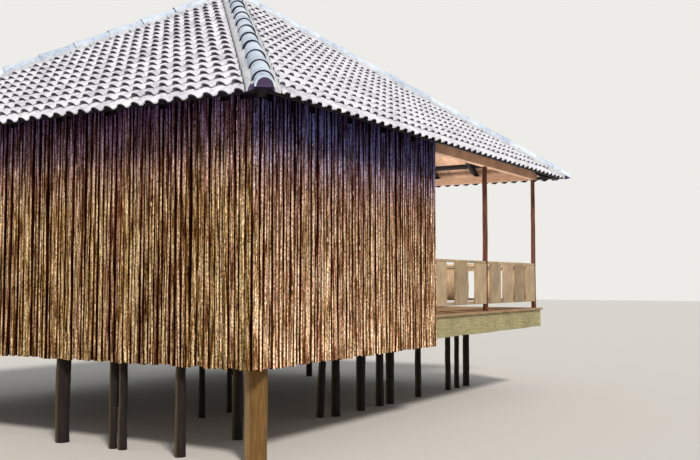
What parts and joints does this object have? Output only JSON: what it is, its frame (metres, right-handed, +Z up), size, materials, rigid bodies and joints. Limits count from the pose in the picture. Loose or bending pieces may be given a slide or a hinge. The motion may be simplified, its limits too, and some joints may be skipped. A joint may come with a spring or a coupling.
{
  "type": "stilt house",
  "caption": "Stick-walled hut on round timber stilts with one room, an open railed veranda and a hipped barrel-tile roof.",
  "frame": {"origin": "on the ground below the middle of the roof", "axes": "+X along the long wall from the closed room towards the veranda, +Y across the house to the back, +Z up"},
  "size_m": [9.1958, 8.0306, 6.43],
  "materials": {
    "pale_post": "debarked round pole, satin",
    "dark_pole": "dark weathered round pole, matt",
    "frame_wood": "sawn timber, matt",
    "floor_wood": "sawn boards, matt",
    "wall_sticks_left": "thin round sticks with bark, matt",
    "wall_sticks_right": "thin round sticks with bark, matt",
    "veranda_pole": "reddish-brown round pole, matt",
    "railing_wood": "weathered pale boards, matt",
    "rim_wood": "weathered pale board, matt",
    "roof_wood": "dark roof timber, matt",
    "roof_boarding": "thin roof boards, matt",
    "clay_tile": "weathered fired clay, matt",
    "hip_tile": "weathered fired clay on mortar, matt",
    "mortar": "trowelled mortar, matt"
  },
  "bodies": {
    "root": {"corner_post": "pale_post", "back_corner_post": "pale_post", "left_stilts": "dark_pole", "inner_stilts": "dark_pole", "leaning_stilt": "dark_pole", "floor_bearers": "frame_wood", "floor_joists": "frame_wood", "room_floor": "floor_wood", "veranda_floor": "floor_wood", "sill_rails": "frame_wood", "wall_rails": "frame_wood", "wall_studs": "frame_wood", "left_wall": "wall_sticks_left", "right_wall": "wall_sticks_right", "back_wall": "wall_sticks_right", "door_wall_near": "wall_sticks_left", "door_wall_far": "wall_sticks_left", "over_door_panel": "wall_sticks_left", "door_frame": "frame_wood", "wall_plates": "frame_wood", "veranda_posts": "veranda_pole", "right_railing": "railing_wood", "back_railing": "railing_wood", "end_railing_near": "railing_wood", "end_railing_far": "railing_wood", "rim_boards": "rim_wood", "hip_rafters": "roof_wood", "rafters": "roof_wood", "purlins": "roof_wood", "roof_boards_right": "roof_boarding", "roof_boards_end": "roof_boarding", "roof_boards_back": "roof_boarding", "roof_boards_left": "roof_boarding", "tiles_right": "clay_tile", "tiles_end": "clay_tile", "tiles_back": "clay_tile", "tiles_left": "clay_tile", "hip_tiles_near": "hip_tile", "hip_tiles_right_end": "hip_tile", "hip_tiles_back_end": "hip_tile", "hip_tiles_left_back": "hip_tile", "peak_cap": "mortar"}
  },
  "joints": []
}
